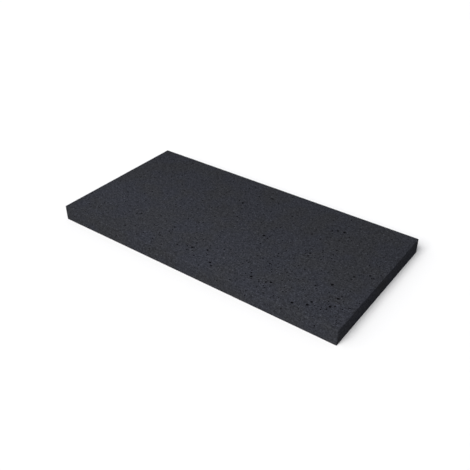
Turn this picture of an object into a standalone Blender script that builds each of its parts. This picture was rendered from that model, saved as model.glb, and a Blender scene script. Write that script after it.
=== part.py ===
"""A sawn slab of vesicular basalt, 600 x 300 x 30 mm, cut from one block of stone.

Metres, +Z up. The origin is the centre of the face the slab lies on, +X runs along its
length and +Y across its width. The slab is one piece: a sawn block with its edges eased
by a narrow flat, and with the gas bubbles of the lava (vesicles) cut open by the saw.
"""

import math
import random

import bmesh
import bpy
from mathutils import Matrix, Vector

MM = 0.001

# Driving dimensions
LENGTH = 600 * MM
WIDTH = LENGTH / 2
THICKNESS = LENGTH / 20
ARRIS = 0.8 * MM  # width cut off each edge by the eased flat

# Vesicles on the upper face, in millimetres from its centre, by the diameter of their mouths.
# They gather towards the +X end and thin out towards -X.
UPPER_VESICLES = {
    5.6: [
        (210, -135), (232, -125), (263, -108), (239, -58), (69, -6), (264, -84),
        (120, -118), (-79, -80), (-12, -111), (10, 111), (-28, 64), (182, 90),
    ],
    4.6: [
        (234, -115), (278, 0), (258, -18), (155, -112), (15, -102), (41, -128),
        (-162, -82), (76, 80), (165, -3), (162, 81), (170, 87), (-44, 130),
    ],
    3.8: [
        (160, -142), (48, -134), (-169, -87), (79, -9), (166, -12), (218, -76),
        (266, -75), (6, -129), (37, -83), (125, -70), (148, -116), (114, -109),
        (77, -17), (187, 60), (-39, 68), (-16, 103), (29, 53), (-89, 34),
        (-220, 77), (-213, 135), (-245, 60),
    ],
    3.0: [
        (89, -87), (194, 59), (154, -129), (251, -88), (284, -6), (-127, -66),
        (-185, -90), (-18, 46), (125, -45), (123, -60), (137, -63), (136, -82),
        (162, -74), (138, -122), (143, -136), (219, -108), (189, -103), (180, -110),
        (226, -142), (269, -103), (167, -97), (290, -94), (88, -98), (159, -121),
        (177, -138), (193, -75), (127, 65), (219, 90), (205, 74), (248, 52),
        (90, 90), (-243, -115), (-115, -97),
    ],
}

# Vesicles on the other five faces: how many there are, and the range of their diameters
SIDE_VESICLES = {"front": 5, "back": 7, "left": 4, "right": 4, "lower": 22}
SIDE_DIAMETERS = (2.0 * MM, 3.2 * MM)
EDGE_CLEARANCE = 6 * MM  # a vesicle's centre stays this far from every edge
WALL = 1.0 * MM  # the least stone left between two vesicles

BUBBLE_SINK = 0.25  # how far a bubble's centre lies under the sawn face, in radii
BUBBLE_SQUASH = (0.82, 1.0)  # its second axis in the sawn plane, in radii
CUTTER_SUBDIVISIONS = 2
SEED = 5

# The stone's surface
BASALT_COLOUR = (0.036, 0.037, 0.043, 1)
BASALT_ROUGHNESS = 0.62

# Each sawn face: the direction out of it, its length direction and half its length and width.
FACES = {
    "upper": (Vector((0, 0, 1)), Vector((1, 0, 0)), LENGTH / 2, WIDTH / 2),
    "lower": (Vector((0, 0, -1)), Vector((1, 0, 0)), LENGTH / 2, WIDTH / 2),
    "front": (Vector((0, -1, 0)), Vector((1, 0, 0)), LENGTH / 2, THICKNESS / 2),
    "back": (Vector((0, 1, 0)), Vector((1, 0, 0)), LENGTH / 2, THICKNESS / 2),
    "left": (Vector((-1, 0, 0)), Vector((0, 1, 0)), WIDTH / 2, THICKNESS / 2),
    "right": (Vector((1, 0, 0)), Vector((0, 1, 0)), WIDTH / 2, THICKNESS / 2),
}


def clear_scene():
    for obj in list(bpy.data.objects):
        bpy.data.objects.remove(obj)


def add_object(name, mesh):
    obj = bpy.data.objects.new(name, mesh)
    bpy.context.scene.collection.objects.link(obj)
    return obj


def face_axes(face):
    """The face's centre, and a matrix whose columns are its length, width and outward directions."""
    outward, along, _, _ = FACES[face]
    reach = Vector((LENGTH, WIDTH, THICKNESS)) / 2
    centre = Vector((0, 0, THICKNESS / 2))
    centre += Vector(outward[i] * reach[i] for i in range(3))
    across = outward.cross(along)
    return centre, Matrix((along, across, outward)).transposed()


def mouth_to_radius(diameter):
    """The radius of a bubble whose opening in the sawn face has this diameter."""
    return diameter / 2 / math.sqrt(1 - BUBBLE_SINK**2)


def scatter(face, count, rng):
    """Centres and diameters of vesicles spread at random over a face, clear of each other."""
    _, _, half_length, half_width = FACES[face]
    placed = []
    while len(placed) < count:
        u = rng.uniform(-1, 1) * (half_length - EDGE_CLEARANCE)
        v = rng.uniform(-1, 1) * (half_width - EDGE_CLEARANCE)
        diameter = rng.uniform(*SIDE_DIAMETERS)
        if all(math.hypot(u - p, v - q) > (diameter + d) / 2 + WALL for p, q, d in placed):
            placed.append((u, v, diameter))
    return placed


def all_vesicles(rng):
    """Every vesicle as (face, u, v, diameter of its mouth), u and v from the face's centre."""
    found = [
        ("upper", x * MM, y * MM, diameter * MM)
        for diameter, centres in UPPER_VESICLES.items()
        for x, y in centres
    ]
    for face, count in SIDE_VESICLES.items():
        found += [(face, *vesicle) for vesicle in scatter(face, count, rng)]
    return found


def add_bubble(cutter, face, u, v, diameter, rng):
    """Adds one ellipsoidal bubble, which breaks through the sawn face at u, v."""
    centre, axes = face_axes(face)
    radius = mouth_to_radius(diameter)
    place = centre + axes @ Vector((u, v, -BUBBLE_SINK * radius))
    turn = Matrix.Rotation(rng.uniform(0, math.pi), 3, "Z")
    shape = Matrix.Diagonal((radius, radius * rng.uniform(*BUBBLE_SQUASH), radius))
    matrix = Matrix.Translation(place) @ (axes @ turn @ shape).to_4x4()
    bmesh.ops.create_icosphere(
        cutter, subdivisions=CUTTER_SUBDIVISIONS, radius=1, matrix=matrix
    )


def vesicle_cutter():
    """All the bubbles in one mesh, which the slab's Boolean cuts away."""
    rng = random.Random(SEED)
    cutter = bmesh.new()
    for vesicle in all_vesicles(rng):
        add_bubble(cutter, *vesicle, rng)
    bmesh.ops.recalc_face_normals(cutter, faces=cutter.faces)
    mesh = bpy.data.meshes.new("vesicle_cutter")
    cutter.to_mesh(mesh)
    cutter.free()
    obj = add_object("vesicle_cutter", mesh)
    obj.hide_render = True
    obj.display_type = "WIRE"
    return obj


def basalt_material():
    material = bpy.data.materials.new("basalt")
    material.use_nodes = True
    surface = material.node_tree.nodes["Principled BSDF"]
    surface.inputs["Base Color"].default_value = BASALT_COLOUR
    surface.inputs["Roughness"].default_value = BASALT_ROUGHNESS
    surface.inputs["Metallic"].default_value = 0
    return material


def basalt_slab(cutter):
    """The sawn block, its edges eased, with the vesicles opened."""
    block = bmesh.new()
    size = Matrix.Diagonal((LENGTH, WIDTH, THICKNESS, 1))
    lift = Matrix.Translation((0, 0, THICKNESS / 2))
    bmesh.ops.create_cube(block, size=1, matrix=lift @ size)
    mesh = bpy.data.meshes.new("basalt_slab")
    block.to_mesh(mesh)
    block.free()
    slab = add_object("basalt_slab", mesh)

    arris = slab.modifiers.new("arris", "BEVEL")
    arris.width = ARRIS
    arris.segments = 1
    arris.limit_method = "NONE"

    opened = slab.modifiers.new("opened_vesicles", "BOOLEAN")
    opened.operation = "DIFFERENCE"
    opened.object = cutter

    mesh.materials.append(basalt_material())
    return slab


def main():
    clear_scene()
    basalt_slab(vesicle_cutter())


main()
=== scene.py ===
"""The looks of a sawn slab of vesicular basalt, lying in a plain white studio.

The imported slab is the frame: its box gives every size here, and its mesh says where the larger
vesicles are. One finer mesh stands for it, with those vesicles, many small pores between them,
and edges that are a little rounded, worn and chipped.
"""

import math
import random
from functools import reduce

import bmesh
import bpy
import numpy as np
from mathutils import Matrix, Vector, kdtree, noise
from mathutils.geometry import delaunay_2d_cdt

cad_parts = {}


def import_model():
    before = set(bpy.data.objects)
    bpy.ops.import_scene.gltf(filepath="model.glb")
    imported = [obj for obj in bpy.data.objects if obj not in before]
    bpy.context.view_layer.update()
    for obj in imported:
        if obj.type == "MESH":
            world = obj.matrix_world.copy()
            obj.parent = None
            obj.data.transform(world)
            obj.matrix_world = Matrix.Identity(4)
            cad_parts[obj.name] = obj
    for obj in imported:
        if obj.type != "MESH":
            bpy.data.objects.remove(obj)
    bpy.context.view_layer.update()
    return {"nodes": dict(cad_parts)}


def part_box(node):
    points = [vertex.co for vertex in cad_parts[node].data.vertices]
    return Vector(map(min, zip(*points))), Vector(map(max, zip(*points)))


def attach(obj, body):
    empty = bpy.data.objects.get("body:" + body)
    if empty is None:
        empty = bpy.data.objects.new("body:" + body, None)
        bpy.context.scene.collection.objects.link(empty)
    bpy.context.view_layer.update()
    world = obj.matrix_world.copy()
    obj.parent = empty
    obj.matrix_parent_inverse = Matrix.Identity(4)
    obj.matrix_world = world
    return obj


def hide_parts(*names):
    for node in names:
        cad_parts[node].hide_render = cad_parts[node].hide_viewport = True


MM = 0.001
SLAB = "basalt_slab"
SEED = 11

# The mesh: how far apart its points are
OUTLINE_STEP = 1.6 * MM
EDGE_ROWS = ((0.25, 1.6), (0.6, 1.6), (1.1, 2.0), (2.0, 3.0), (4.0, 5.0))  # inset and step, in mm
GRID_STEP = 7 * MM
GRID_INSET = 7 * MM
GRID_GAP = 1.5 * MM  # a grid point stays this far from the middle of a bowl
RIM_STEP = 0.65 * MM
FEWEST_RIM_POINTS = 7
LARGE_BOWL = ((1, 1), (0.94, 1), (0.76, 0.7), (0.45, 0.4))  # each ring's radius and its share of points
SMALL_BOWL = ((1, 1), (0.8, 1))
SMALL_RADIUS = 0.9 * MM  # a bowl narrower than this has the fewer rings
WELD = 0.001 * MM
SAME_POINT = WELD / 10  # points of one side that are nearer than this are one
INSIDE_OUTLINE = 1  # asks for the triangles inside the outline

# Vesicles, as deep and uneven bowls
BOWL_DEPTH = (0.9, 1.3)  # in radii of the mouth
BOWL_FULLNESS = 3  # how flat the bowl's floor is and how steep its wall
MOUTH_WAVES = {2: 0.16, 3: 0.1, 5: 0.05}  # waves round a mouth, and the most that each adds
MOUTH_REACH = 1 + sum(MOUTH_WAVES.values())
ROUGHENING = 0.5  # the share of those waves that a vesicle of the frame gets
PORE_RADIUS = (0.4 * MM, 1.6 * MM)
PORE_BIAS = 2  # a power of the random number that picks a radius: small pores are the most common
UPPER_PORE_AREA = 130 * MM**2  # one pore to this much of the upper side
PORE_AREA = 260 * MM**2  # and of each of the others
PORE_WALL = 0.25 * MM  # the least stone left between two mouths
PORE_BORDER = 2.5 * MM  # a pore's centre stays this far from the edges
# Where pores gather on the upper side: centre and spread in mm, and how many
PORE_CLUSTERS = (
    (150, -90, 50, 110),
    (260, -110, 32, 60),
    (130, -60, 26, 30),
    (165, -5, 20, 20),
    (70, -10, 20, 20),
    (280, 0, 18, 20),
    (-90, -120, 30, 10),
    (-240, -120, 40, 30),
    (-240, 90, 50, 40),
    (-35, 65, 24, 16),
    (150, 70, 40, 40),
    (220, 10, 50, 40),
)

# The flat sheet that the six sides are laid out on for textures
SHEET_MAP = "OFBake"
SHEET_ROWS = (("upper",), ("lower",), ("front",), ("back",), ("left", "right"))
SHEET_GAP = 4 * MM

# Wear on the edges
ARRIS_RADIUS = (0.35 * MM, 0.95 * MM)
ARRIS_WAVE = 14 * MM
CHIPS = 70
CHIP_LENGTH = (1.0 * MM, 3.6 * MM)
CHIP_WIDTH = (0.8 * MM, 1.8 * MM)
CHIP_DEPTH = (0.15, 0.5)  # in chip widths
CHIP_CORE = 0.1  # a point this near a chip's centre, in its radii, doesn't reach its wall

SHARP_ANGLE = math.radians(38)

# The stone: it drifts between two tones, and every kind of mark shades it by a factor
BASALT_GREY = (0.0219, 0.0224, 0.0249)
BASALT_BLUE = (0.0215, 0.0224, 0.0268)
DRIFT_SIZE = 45 * MM
DRIFT_SPAN = (0.4, 0.6)  # the values of noise between which the tone changes
# Soft marks: their size, the detail and roughness of their noise, and their darkest and palest shade
SOFT_MARKS = {
    "cloud": (60 * MM, 3, 0.5, (0.98, 1.02)),
    "mottle": (6 * MM, 3, 0.7, (0.7, 1.3)),
    "grain": (3 * MM, 4, 0.7, (0.67, 1.33)),
    "dust": (0.7 * MM, 2, 0.5, (0.7, 1.3)),
}
NOISE_SPAN = (0.3, 0.7)  # nearly all noise lies between these
CRYSTAL_SIZE = 1.3 * MM
CRYSTAL_SHADES = (0.68, 1.32)
# Spots at the middles of cells: the cells' size, and the radii, in cells, where a spot is full and none
FELDSPAR_CELL = 4.7 * MM
FELDSPAR_RADII = (0.1, 0.22)
FELDSPAR_SHADE = 1.9
# Pinholes: pores too small to model, drawn as dark dots of painted shade, with a small dip in the bump
PINHOLE_CELL = 3.4 * MM
PINHOLE_RADII = (0.13, 0.21)
PINHOLE_PAINTED_SHADE = 0.1
# Painted shade in the vesicle bowls, darker the deeper the bowl, and partly the duller stone that lines
# them
BOWL_PAINTED_SHADE = 0.15
BOWL_PAINTED_SHADE_DEPTH = 0.7 * MM  # where a bowl is this deep or more, it has the full painted shade
WORN_SHADE = 1.12
WORN_DISTANCE = 0.35 * MM  # where wear moved the surface this far or more, it has that shade
ROUGHNESS = (0.5, 0.68)
BUMP_HEIGHT = 0.2 * MM
GRAIN_BUMP = 0.6  # of the bump's height, where a pinhole is 1 deep
DUST_BUMP = 0.3

# The camera: angles in degrees, its aim and distance in slab lengths, and its lens in mm
AZIMUTH = 36.338
ELEVATION = 34.115
AIM = (0.0431, -0.0595)
DISTANCE = 1.919
LENS = 48.56

# The studio, in metres where not said otherwise
FLOOR_SIZE = 40
FLOOR_GAP = 0.1 * MM  # keeps the floor clear of the slab's underside
FLOOR_WHITE = (0.742, 0.738, 0.731, 1)
SKY = 0.265
SKY_TINT = (0.95, 0.98, 1.08)
# Each lamp's name, the direction towards it, its strength and its spread in degrees
LAMPS = (
    ("front", (-0.08, -1.28, 1.3), 1.33, 40),
    ("left", (-0.73, -0.98, 1), 0.296, 60),
)
# A strip light above the slab's front edge: its place and size in slab lengths, turn, watts and colour
STRIP_PLACE = (0.117, -0.25, 0.4)
STRIP_SIZE = (1.58, 0.167)
STRIP_TURN = math.radians(-12)
STRIP_POWER = 0.66
STRIP_TINT = (0.97, 1, 1.12)


class Side:
    """One sawn side: its plane, and u and v axes in it that start from its middle."""

    def __init__(self, outward, along, low, high):
        self.outward = Vector(outward)
        self.along = Vector(along)
        self.across = self.outward.cross(self.along)
        reach = (high - low) / 2
        self.centre = (low + high) / 2 + Vector(n * r for n, r in zip(self.outward, reach))
        self.half_u = abs(reach.dot(self.along))
        self.half_v = abs(reach.dot(self.across))

    def flatten(self, point):
        """A point's u and v, and how deep it lies under the side."""
        offset = point - self.centre
        return offset.dot(self.along), offset.dot(self.across), -offset.dot(self.outward)

    def place(self, u, v, depth):
        return self.centre + self.along * u + self.across * v - self.outward * depth

    def border(self, u, v):
        """How far a point of the side is from its nearest edge."""
        return min(self.half_u - abs(u), self.half_v - abs(v))


def slab_sides(low, high):
    return {
        "upper": Side((0, 0, 1), (1, 0, 0), low, high),
        "lower": Side((0, 0, -1), (1, 0, 0), low, high),
        "front": Side((0, -1, 0), (1, 0, 0), low, high),
        "back": Side((0, 1, 0), (-1, 0, 0), low, high),
        "left": Side((-1, 0, 0), (0, -1, 0), low, high),
        "right": Side((1, 0, 0), (0, 1, 0), low, high),
    }


class Vesicle:
    """A gas bubble that the saw opened: an uneven round mouth over a deep bowl."""

    def __init__(self, u, v, radius, waves, rng):
        self.u = u
        self.v = v
        self.radius = radius
        self.waves = waves
        self.depth = radius * rng.uniform(*BOWL_DEPTH)

    def mouth(self, angle):
        """The mouth's radius in this direction."""
        return self.radius * (1 + sum(size * math.cos(k * angle + turn) for k, size, turn in self.waves))

    def depth_at(self, u, v):
        """How deep the bowl is at this point of the side."""
        distance = math.hypot(u - self.u, v - self.v)
        share = distance / self.mouth(math.atan2(v - self.v, u - self.u))
        return self.depth * math.sqrt(max(0, 1 - share**BOWL_FULLNESS))

    def rings(self):
        """Rings of (u, v) points, from the rim to the middle."""
        rim = max(FEWEST_RIM_POINTS, round(math.tau * self.radius / RIM_STEP))
        for scale, share in SMALL_BOWL if self.radius < SMALL_RADIUS else LARGE_BOWL:
            count = round(rim * share)
            angles = [math.tau * i / count for i in range(count)]
            yield [
                (self.u + scale * self.mouth(a) * math.cos(a), self.v + scale * self.mouth(a) * math.sin(a))
                for a in angles
            ]
        yield [(self.u, self.v)]


def random_waves(rng, share=1):
    """Waves round a mouth, each with its count, size and turn."""
    return [(k, share * rng.uniform(0, most), rng.uniform(0, math.tau)) for k, most in MOUTH_WAVES.items()]


def welded(mesh):
    """The mesh as a bmesh, with the points that lie on each other joined."""
    joined = bmesh.new()
    joined.from_mesh(mesh)
    bmesh.ops.remove_doubles(joined, verts=joined.verts, dist=WELD)
    return joined


def frame_mouths(slab, side):
    """The rims of the vesicles that the frame's slab has in this side, as lists of (u, v)."""
    neighbours = {}
    for edge in slab.edges:
        flat = [all(abs(side.flatten(v.co)[2]) < WELD for v in face.verts) for face in edge.link_faces]
        ends = [side.flatten(v.co) for v in edge.verts]
        if sum(flat) == 1 and all(side.border(u, v) > PORE_BORDER for u, v, _ in ends):
            first, second = edge.verts
            neighbours.setdefault(first, []).append(second)
            neighbours.setdefault(second, []).append(first)
    rims = []
    while neighbours:
        rim = []
        waiting = [next(iter(neighbours))]
        while waiting:
            point = waiting.pop()
            if point in neighbours:
                rim.append(side.flatten(point.co)[:2])
                waiting += neighbours.pop(point)
        rims.append(rim)
    return rims


def measured_vesicle(rim, rng):
    """A vesicle with the place, size and outline of a rim in the frame, roughened a little."""
    rim = np.array(rim)
    u, v = rim.mean(0)
    spokes = (rim[:, 0] - u) + 1j * (rim[:, 1] - v)
    radius = abs(spokes).mean()
    # The rim's second harmonic: its size is how oval the mouth is, and its angle which way
    oval = 2 * np.mean((abs(spokes) / radius - 1) * np.exp(2j * np.angle(spokes)))
    waves = [(2, abs(oval), -np.angle(oval)), *random_waves(rng, ROUGHENING)]
    return Vesicle(u, v, radius, waves, rng)


def add_pore(side, vesicles, u, v, rng):
    """Adds a small pore here, unless it would meet an edge or another vesicle."""
    small, large = PORE_RADIUS
    radius = small + (large - small) * rng.random() ** PORE_BIAS
    waves = random_waves(rng)
    clear = side.border(u, v) > PORE_BORDER and all(
        math.hypot(u - w.u, v - w.v) > MOUTH_REACH * (radius + w.radius) + PORE_WALL for w in vesicles
    )
    if clear:
        vesicles.append(Vesicle(u, v, radius, waves, rng))


def add_pores(side, vesicles, area, clusters, rng):
    """Small pores all over a side, one to this area, and more of them in its clusters."""
    for _ in range(round(4 * side.half_u * side.half_v / area)):
        u = rng.uniform(-side.half_u, side.half_u)
        v = rng.uniform(-side.half_v, side.half_v)
        add_pore(side, vesicles, u, v, rng)
    for x, y, spread, count in clusters:
        for _ in range(count):
            u = rng.gauss(x, spread / 2) * MM
            v = rng.gauss(y, spread / 2) * MM
            add_pore(side, vesicles, u, v, rng)


def box_row(half_u, half_v, step):
    """Points evenly round a rectangle, anticlockwise from its lowest corner."""
    across_u = max(1, round(2 * half_u / step))
    across_v = max(1, round(2 * half_v / step))
    us = [half_u * (2 * i / across_u - 1) for i in range(across_u)]
    vs = [half_v * (2 * i / across_v - 1) for i in range(across_v)]
    row = [(u, -half_v) for u in us] + [(half_u, v) for v in vs]
    return row + [(-u, half_v) for u in us] + [(-half_u, -v) for v in vs]


def grid_points(side, bowls, rng):
    """Loosely spaced points between the vesicles, so that no triangle is long."""
    for u in np.arange(GRID_INSET - side.half_u, side.half_u - GRID_INSET, GRID_STEP):
        for v in np.arange(GRID_INSET - side.half_v, side.half_v - GRID_INSET, GRID_STEP):
            u_here = u + rng.uniform(0, GRID_STEP / 2)
            v_here = v + rng.uniform(0, GRID_STEP / 2)
            _, _, gap = bowls.find((u_here, v_here, 0))
            if gap > GRID_GAP:
                yield u_here, v_here


def skin(side, vesicles, rng):
    """The side as (u, v, depth) points and triangles: flat stone with the bowls sunk into it."""
    bowls = kdtree.KDTree(len(vesicles))
    for i, vesicle in enumerate(vesicles):
        bowls.insert((vesicle.u, vesicle.v, 0), i)
    bowls.balance()
    widest = MOUTH_REACH * max(v.radius for v in vesicles)

    points = box_row(side.half_u, side.half_v, OUTLINE_STEP)
    outline = list(range(len(points)))
    edges = []
    for inset, step in EDGE_ROWS:
        points += box_row(side.half_u - inset * MM, side.half_v - inset * MM, step * MM)
    for vesicle in vesicles:
        for ring in vesicle.rings():
            first = len(points)
            points += ring
            count = len(ring)
            if count > 2:
                edges += [(first + i, first + (i + 1) % count) for i in range(count)]
    points += grid_points(side, bowls, rng)

    flat = [Vector(p) for p in points]
    corners, _, triangles, *_ = delaunay_2d_cdt(
        flat, edges, [outline], INSIDE_OUTLINE, SAME_POINT
    )
    placed = []
    for u, v in corners:
        near = bowls.find_range((u, v, 0), widest)
        depth = max((vesicles[i].depth_at(u, v) for _, i, _ in near), default=0)
        placed.append((u, v, depth))
    return placed, triangles


def sheet(sides):
    """Lays the sides out on one flat sheet. Gives each side's middle there, and the sheet's size."""
    middles = {}
    width = 0
    height = SHEET_GAP
    for row in SHEET_ROWS:
        reach = SHEET_GAP
        for name in row:
            middles[name] = Vector((reach + sides[name].half_u, height + sides[name].half_v))
            reach += 2 * sides[name].half_u + SHEET_GAP
        width = max(width, reach)
        height += 2 * sides[row[0]].half_v + SHEET_GAP
    return middles, (width, height)


def sawn_block(sides, vesicles, rng):
    """The six sides as one closed mesh with sharp edges."""
    middles, size = sheet(sides)
    corners = []
    depths = []
    places = []
    faces = []
    for name, side in sides.items():
        points, triangles = skin(side, vesicles[name], rng)
        faces += [[len(corners) + i for i in triangle] for triangle in triangles]
        corners += [side.place(u, v, depth) for u, v, depth in points]
        depths += [depth for _, _, depth in points]
        places += [(middles[name] + Vector((u, v))) for u, v, _ in points]
    mesh = bpy.data.meshes.new("basalt")
    mesh.from_pydata(corners, [], faces)
    mesh.attributes.new("bowl_depth", "FLOAT", "POINT").data.foreach_set("value", depths)
    owners = np.empty(len(mesh.loops), int)
    mesh.loops.foreach_get("vertex_index", owners)
    layout = (np.array(places) / size)[owners]
    mesh.uv_layers.new(name=SHEET_MAP).data.foreach_set("uv", layout.ravel())
    joined = welded(mesh)
    joined.to_mesh(mesh)
    joined.free()
    return mesh


def rounded(points, low, high):
    """The points with the box's edges rounded, by a radius that wanders along them."""
    small, large = ARRIS_RADIUS
    wander = np.array([noise.noise(Vector(p) / ARRIS_WAVE) for p in points])
    radius = (small + (large - small) * (0.5 + 0.5 * wander))[:, None]
    core = np.clip(points, low + radius, high - radius)
    away = points - core
    reach = np.linalg.norm(away, axis=1, keepdims=True)
    return np.where(reach > radius, core + away * radius / np.maximum(reach, radius), points)


def add_chip(points, low, high, rng):
    """Takes an oval chip out of one edge: the points inside it move straight in to its far wall."""
    size = high - low
    axis = rng.choices(range(3), size)[0]
    middle = np.where([rng.random() < 0.5 for _ in range(3)], low, high)
    middle[axis] = rng.uniform(low[axis], high[axis])
    width = rng.uniform(*CHIP_WIDTH)
    radii = np.full(3, width)
    radii[axis] = max(width, rng.uniform(*CHIP_LENGTH))
    outward = np.sign(middle - (low + high) / 2)
    outward[axis] = 0
    centre = middle + outward / math.sqrt(2) * width * (1 - rng.uniform(*CHIP_DEPTH))
    reach = np.linalg.norm((points - centre) / radii, axis=1, keepdims=True)
    return np.where(reach < 1, centre + (points - centre) / np.maximum(reach, CHIP_CORE), points)


def wear(mesh, low, high, rng):
    """Rounds and chips the edges, and notes how far each point has moved."""
    coordinates = np.empty(3 * len(mesh.vertices), np.float32)
    mesh.vertices.foreach_get("co", coordinates)
    sharp = coordinates.reshape(-1, 3).astype(float)
    low = np.array(low)
    high = np.array(high)
    points = rounded(sharp, low, high)
    for _ in range(CHIPS):
        points = add_chip(points, low, high, rng)
    mesh.vertices.foreach_set("co", points.ravel())
    moved = np.linalg.norm(points - sharp, axis=1)
    mesh.attributes.new("worn", "FLOAT", "POINT").data.foreach_set("value", moved)
    mesh.update()


def stone_slab(frame_slab, low, high):
    """The slab's fine mesh, as one object."""
    rng = random.Random(SEED)
    sides = slab_sides(low, high)
    joined = welded(frame_slab.data)
    vesicles = {}
    for name, side in sides.items():
        vesicles[name] = [measured_vesicle(rim, rng) for rim in frame_mouths(joined, side)]
        if name == "upper":
            add_pores(side, vesicles[name], UPPER_PORE_AREA, PORE_CLUSTERS, rng)
        else:
            add_pores(side, vesicles[name], PORE_AREA, (), rng)
    joined.free()
    mesh = sawn_block(sides, vesicles, rng)
    wear(mesh, low, high, rng)
    mesh.shade_smooth()
    mesh.set_sharp_from_angle(angle=SHARP_ANGLE)
    slab = bpy.data.objects.new("basalt_stone", mesh)
    bpy.context.scene.collection.objects.link(slab)
    return slab


class Shader:
    """A material's nodes, with a short call for each kind of node it is made of."""

    def __init__(self, name):
        self.material = bpy.data.materials.new(name)
        self.material.use_nodes = True
        self.nodes = self.material.node_tree.nodes
        self.surface = self.nodes["Principled BSDF"]
        self.place = self.add("ShaderNodeTexCoord").outputs["Object"]

    def link(self, source, target):
        self.material.node_tree.links.new(source, target)

    def add(self, kind, inputs=(), **settings):
        """A node with these settings, and with values or other nodes' outputs on its inputs."""
        node = self.nodes.new(kind)
        for name, value in settings.items():
            setattr(node, name, value)
        for name, value in dict(inputs).items():
            if isinstance(value, bpy.types.NodeSocket):
                self.link(value, node.inputs[name])
            else:
                node.inputs[name].default_value = value
        return node

    def noise(self, size, detail, roughness=0.5):
        """Soft noise whose largest marks are about this size."""
        settings = {"Vector": self.place, "Scale": 1 / size, "Detail": detail, "Roughness": roughness}
        return self.add("ShaderNodeTexNoise", settings).outputs["Fac"]

    def cells(self, size):
        """Cells of about this size: the distance to each one's centre, and a random colour."""
        node = self.add("ShaderNodeTexVoronoi", {"Vector": self.place, "Scale": 1 / size})
        return node.outputs["Distance"], node.outputs["Color"]

    def attribute(self, name):
        return self.add("ShaderNodeAttribute", attribute_name=name).outputs["Fac"]

    def remap(self, value, source, target):
        """The value, stretched from one range to another and kept within it."""
        inputs = {"Value": value, 1: source[0], 2: source[1], 3: target[0], 4: target[1]}
        return self.add("ShaderNodeMapRange", inputs).outputs[0]

    def times(self, first, second):
        return self.add("ShaderNodeMath", {0: first, 1: second}, operation="MULTIPLY").outputs[0]

    def plus(self, first, second):
        return self.add("ShaderNodeMath", {0: first, 1: second}, operation="ADD").outputs[0]

    def mix(self, share, first, second):
        """A colour that goes from the first to the second as the share goes from 0 to 1."""
        inputs = {"Fac": share, "Color1": (*first, 1), "Color2": (*second, 1)}
        return self.add("ShaderNodeMixRGB", inputs).outputs["Color"]

    def scale_colour(self, colour, factor):
        inputs = {0: colour, "Scale": factor}
        return self.add("ShaderNodeVectorMath", inputs, operation="SCALE").outputs[0]

    def bump(self, height, distance):
        return self.add("ShaderNodeBump", {"Height": height, "Distance": distance}).outputs["Normal"]


def basalt_material():
    """Charcoal stone: mottled, speckled with crystals, and pricked with pores too small to model, which are
    dark dots of painted shade. The vesicle bowls get painted shade too, darker the deeper they are.
    """
    shader = Shader("basalt")
    _, crystal = shader.cells(CRYSTAL_SIZE)
    pinhole, _ = shader.cells(PINHOLE_CELL)
    feldspar, _ = shader.cells(FELDSPAR_CELL)
    bowl_depth = shader.attribute("bowl_depth")
    worn = shader.attribute("worn")

    soft = {}
    shades = []
    for name, (size, detail, roughness, shade) in SOFT_MARKS.items():
        soft[name] = shader.noise(size, detail, roughness)
        shades.append(shader.remap(soft[name], NOISE_SPAN, shade))
    shades += [
        shader.remap(crystal, (0, 1), CRYSTAL_SHADES),
        shader.remap(feldspar, FELDSPAR_RADII, (FELDSPAR_SHADE, 1)),
        # painted shade: the pinholes as dark dots
        shader.remap(pinhole, PINHOLE_RADII, (PINHOLE_PAINTED_SHADE, 1)),
        # painted shade in the bowls, darker with their depth, partly their duller lining
        shader.remap(bowl_depth, (0, BOWL_PAINTED_SHADE_DEPTH), (1, BOWL_PAINTED_SHADE)),
        shader.remap(worn, (0, WORN_DISTANCE), (1, WORN_SHADE)),
    ]
    drift = shader.remap(shader.noise(DRIFT_SIZE, 2), DRIFT_SPAN, (0, 1))
    base = shader.mix(drift, BASALT_GREY, BASALT_BLUE)
    colour = shader.scale_colour(base, reduce(shader.times, shades))
    shader.link(colour, shader.surface.inputs["Base Color"])

    rough = shader.remap(soft["grain"], NOISE_SPAN, ROUGHNESS)
    shader.link(rough, shader.surface.inputs["Roughness"])
    relief = [
        shader.times(soft["grain"], GRAIN_BUMP),
        shader.times(soft["dust"], DUST_BUMP),
        shader.remap(pinhole, PINHOLE_RADII, (-1, 0)),
    ]
    normal = shader.bump(reduce(shader.plus, relief), BUMP_HEIGHT)
    shader.link(normal, shader.surface.inputs["Normal"])
    shader.surface.inputs["Specular IOR Level"].default_value = 0
    shader.surface.inputs["Metallic"].default_value = 0
    return shader.material


def add_camera(low, high):
    length = high.x - low.x
    azimuth = math.radians(AZIMUTH)
    elevation = math.radians(ELEVATION)
    toward = Vector((
        -math.sin(azimuth) * math.cos(elevation),
        math.cos(azimuth) * math.cos(elevation),
        -math.sin(elevation),
    ))
    aim = Vector((AIM[0] * length, AIM[1] * length, high.z))
    lens = bpy.data.cameras.new("camera")
    lens.lens = LENS
    camera = bpy.data.objects.new("camera", lens)
    camera.location = aim - DISTANCE * length * toward
    camera.rotation_euler = (math.pi / 2 - elevation, 0, azimuth)
    bpy.context.scene.collection.objects.link(camera)
    bpy.context.scene.camera = camera


def add_floor(low):
    half = FLOOR_SIZE / 2
    height = low.z - FLOOR_GAP
    mesh = bpy.data.meshes.new("floor")
    corners = [(-half, -half, height), (half, -half, height), (half, half, height), (-half, half, height)]
    mesh.from_pydata(corners, [], [(0, 1, 2, 3)])
    material = bpy.data.materials.new("floor")
    material.use_nodes = True
    surface = material.node_tree.nodes["Principled BSDF"]
    surface.inputs["Base Color"].default_value = FLOOR_WHITE
    surface.inputs["Roughness"].default_value = 1
    surface.inputs["Specular IOR Level"].default_value = 0
    mesh.materials.append(material)
    floor = bpy.data.objects.new("floor", mesh)
    bpy.context.scene.collection.objects.link(floor)


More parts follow.
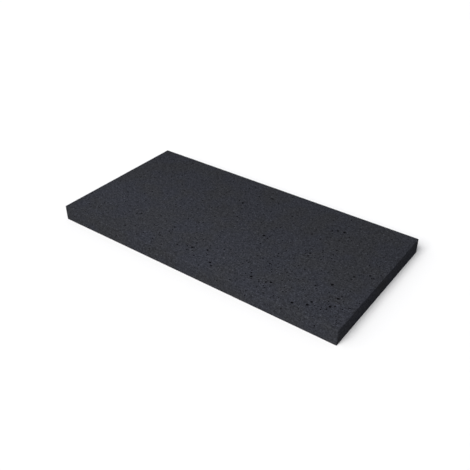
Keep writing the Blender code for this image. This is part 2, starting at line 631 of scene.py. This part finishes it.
def add_lamp(name, toward, strength, spread):
    """A soft far lamp in this direction. Its strength is the light it gives a surface that faces it."""
    lamp = bpy.data.lights.new(name, "SUN")
    lamp.energy = strength * math.pi
    lamp.angle = math.radians(spread)
    holder = bpy.data.objects.new(name, lamp)
    holder.rotation_euler = Vector(toward).to_track_quat("Z", "Y").to_euler()
    bpy.context.scene.collection.objects.link(holder)


def add_strip(slab, length):
    """A strip light that fades from the slab's front edge to its back one. It lights nothing else."""
    lamp = bpy.data.lights.new("strip", "AREA")
    lamp.shape = "RECTANGLE"
    lamp.size, lamp.size_y = (side * length for side in STRIP_SIZE)
    lamp.energy = STRIP_POWER
    lamp.color = STRIP_TINT
    holder = bpy.data.objects.new("strip", lamp)
    holder.location = Vector(STRIP_PLACE) * length
    holder.rotation_euler.z = STRIP_TURN
    holder.visible_camera = False
    bpy.context.scene.collection.objects.link(holder)
    lit = bpy.data.collections.new("lit by the strip")
    lit.objects.link(slab)
    holder.light_linking.receiver_collection = lit


def add_sky():
    """An even sky, which looks white behind the floor but lights the slab less than that."""
    world = bpy.data.worlds.new("sky")
    bpy.context.scene.world = world
    world.use_nodes = True
    nodes = world.node_tree.nodes
    links = world.node_tree.links
    soft = nodes["Background"]
    soft.inputs["Color"].default_value = (*SKY_TINT, 1)
    soft.inputs["Strength"].default_value = SKY
    seen = nodes.new("ShaderNodeBackground")
    seen.inputs["Color"].default_value = (1, 1, 1, 1)
    mix = nodes.new("ShaderNodeMixShader")
    links.new(nodes.new("ShaderNodeLightPath").outputs["Is Camera Ray"], mix.inputs[0])
    links.new(soft.outputs[0], mix.inputs[1])
    links.new(seen.outputs[0], mix.inputs[2])
    links.new(mix.outputs[0], nodes["World Output"].inputs["Surface"])


def main():
    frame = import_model()
    low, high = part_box(SLAB)

    add_camera(low, high)
    add_floor(low)
    add_sky()
    for lamp in LAMPS:
        add_lamp(*lamp)
    bpy.context.scene.view_settings.view_transform = "Standard"

    slab = stone_slab(frame["nodes"][SLAB], low, high)
    slab.data.materials.append(basalt_material())
    add_strip(slab, high.x - low.x)
    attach(slab, "root")
    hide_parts(SLAB)


main()
